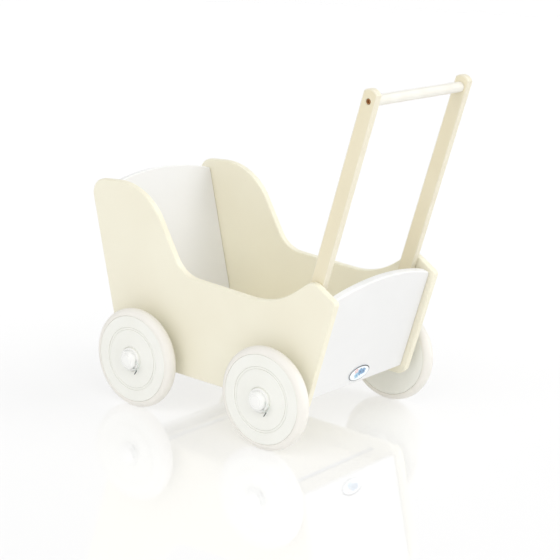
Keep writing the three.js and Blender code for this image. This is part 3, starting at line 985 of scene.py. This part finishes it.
def clip_notches(centre, side):
    """Cutters for the slots in the cap's wall that the clip's leg and tail slide through."""
    half_height = WIRE_RADIUS + 0.2
    low, high = sorted((side * (GROOVE_AT - half_height), side * (GROOVE_AT + half_height)))
    inside, outside = 8, 18

    def place(u, v, w):
        return clip_point(u, v, w, centre)

    return [
        block("notch", (inside, start, low), (outside, end, high), place)
        for start, end in ((7.2, 9.8), (-5.7, -2.2))
    ]


def make_wheel(end, name, side):
    """A disc, its tyre and its cap, which turn together, and the clip that slides in them."""
    centre = wheel_centre(end, name)
    place = f"{end}_{name}"
    body = f"wheel_{place}"
    disc = turned(f"disc_{place}", as_pairs(disc_profile()), centre, side, [WHEEL_PLASTIC], 128, 50)
    install(disc, body, f"wheel_disc_{place}")
    tyre = turned(f"soft_tyre_{place}", tyre_profile(), centre, side, [TYRE_RUBBER], 128, 60)
    install(tyre, body, f"tyre_{place}")
    cap = turned(f"dome_cap_{place}", cap_profile(), centre, side, [CAP_PLASTIC], 96, 60)
    carve(cap, clip_notches(centre, side))
    sharpen(cap, 40)
    install(cap, body, f"hub_cap_{place}")
    path = make_clip_path(centre, side)
    clip = wire(f"wire_clip_{place}", path, WIRE_RADIUS, [WIRE_STEEL], centre)
    install(clip, f"clip_{place}", f"release_clip_{place}")


# ------------------------------------------------------------------ pieces kept from the CAD


def finish_dowels():
    """The dowels stay as they are in the CAD and get the bare wood."""
    for node, piece in frame["nodes"].items():
        if "_dowel_" in node:
            piece.data.materials.clear()
            piece.data.materials.append(BEECH)


# ------------------------------------------------------------------ studio


# The world is white along the horizon and fades to this grey overhead.
HAZE = 0.38


def make_floor_plane():
    """A lit sheet of white acrylic: it glows a little and mirrors what stands on it."""
    surface = Surface("studio_floor", 0.6, specular=0.3)
    tone = surface.ramp(surface.noise(0.8, 2), [(0.3, linear("acacac")), (0.7, linear("b0b0b0"))])
    surface.colour(tone)
    surface.shader.inputs["Emission Color"].default_value = (1, 1, 1, 1)
    surface.shader.inputs["Emission Strength"].default_value = 0.56
    surface.shader.inputs["Coat Weight"].default_value = 1.0
    surface.shader.inputs["Coat IOR"].default_value = 2.5
    surface.shader.inputs["Coat Roughness"].default_value = 0.02
    reach = 12000
    corners = [(-reach, -reach, 0), (reach, -reach, 0), (reach, reach, 0), (-reach, reach, 0)]
    make_object("studio_floor", corners, [(0, 1, 2, 3)], [surface.material])


def make_world():
    """A pale studio, brightest from the horizon up to a little above it."""
    world = bpy.data.worlds.new("studio")
    world.use_nodes = True
    tree = world.node_tree
    direction = tree.nodes.new("ShaderNodeTexCoord").outputs["Generated"]
    split = tree.nodes.new("ShaderNodeSeparateXYZ")
    tree.links.new(direction, split.inputs["Vector"])
    ramp = tree.nodes.new("ShaderNodeValToRGB")
    low, high = ramp.color_ramp.elements
    low.position = 0.27
    low.color = (1, 1, 1, 1)
    high.position = 0.7
    high.color = (HAZE, HAZE, HAZE, 1)
    tree.links.new(split.outputs["Z"], ramp.inputs["Fac"])
    tree.links.new(ramp.outputs["Color"], tree.nodes["Background"].inputs["Color"])
    bpy.context.scene.world = world


def towards(azimuth, elevation):
    """The direction at an azimuth, in degrees from the pram's left side, and an elevation."""
    turn, rise = math.radians(azimuth), math.radians(elevation)
    level = math.cos(rise)
    return Vector((math.sin(turn) * level, -math.cos(turn) * level, math.sin(rise)))


def soft_light(name, azimuth, elevation, strength):
    """A distant softbox, placed by the angles that it shines from."""
    data = bpy.data.lights.new(name, "SUN")
    data.energy = strength
    data.angle = math.radians(40)
    light = bpy.data.objects.new(name, data)
    light.rotation_euler = (-towards(azimuth, elevation)).to_track_quat("-Z", "Y").to_euler()
    bpy.context.scene.collection.objects.link(light)


def near_light(name, azimuth, elevation, distance, watts):
    """A round softbox that stands close enough to fall off across the pram; sizes in metres."""
    source = towards(azimuth, elevation)
    tub_height = 0.2
    data = bpy.data.lights.new(name, "AREA")
    data.shape = "DISK"
    data.size = 0.8
    data.energy = watts
    light = bpy.data.objects.new(name, data)
    light.location = source * distance + Vector((0, 0, tub_height))
    light.rotation_euler = (-source).to_track_quat("-Z", "Y").to_euler()
    light.visible_camera = False
    bpy.context.scene.collection.objects.link(light)


def make_lights():
    """Soft light from the front, the right and behind, over the pale world."""
    make_world()
    soft_light("front_box", 5, 45, 0.8)
    soft_light("right_box", 60, 50, 0.4)
    near_light("window", 62, 25, distance=1.7, watts=2.6)
    soft_light("low_right_box", 120, 20, 0.42)
    soft_light("back_box", 150, 50, 0.75)


def make_camera():
    """The photo's camera: it looks at a point inside the tub, rolled slightly about its axis."""
    back = towards(38.24, 15.40)
    roll = math.radians(2.69)
    target = Vector((MIDDLE_X + 21.36, 0, 209.11)) * MM
    distance = 2.5618
    right = (-back).cross(Vector((0, 0, 1))).normalized()
    up = right.cross(-back)
    tilted_right = right * math.cos(roll) + up * math.sin(roll)
    tilted_up = up * math.cos(roll) - right * math.sin(roll)
    data = bpy.data.cameras.new("camera")
    data.sensor_width = 36
    data.lens = 103.94
    camera = bpy.data.objects.new("camera", data)
    turn = Matrix((tilted_right, tilted_up, back)).transposed()
    camera.matrix_world = Matrix.Translation(target + back * distance) @ turn.to_4x4()
    bpy.context.scene.collection.objects.link(camera)
    bpy.context.scene.camera = camera


# ------------------------------------------------------------------ assembly

bpy.context.scene.view_settings.view_transform = "Standard"
make_camera()
make_lights()
make_floor_plane()
make_side_panels()
make_end_panels()
make_floor()
make_badge()
make_handle()
make_axles()
for wheel_end in ENDS:
    for side_name, direction in SIDES.items():
        make_wheel(wheel_end, side_name, direction)
finish_dowels()
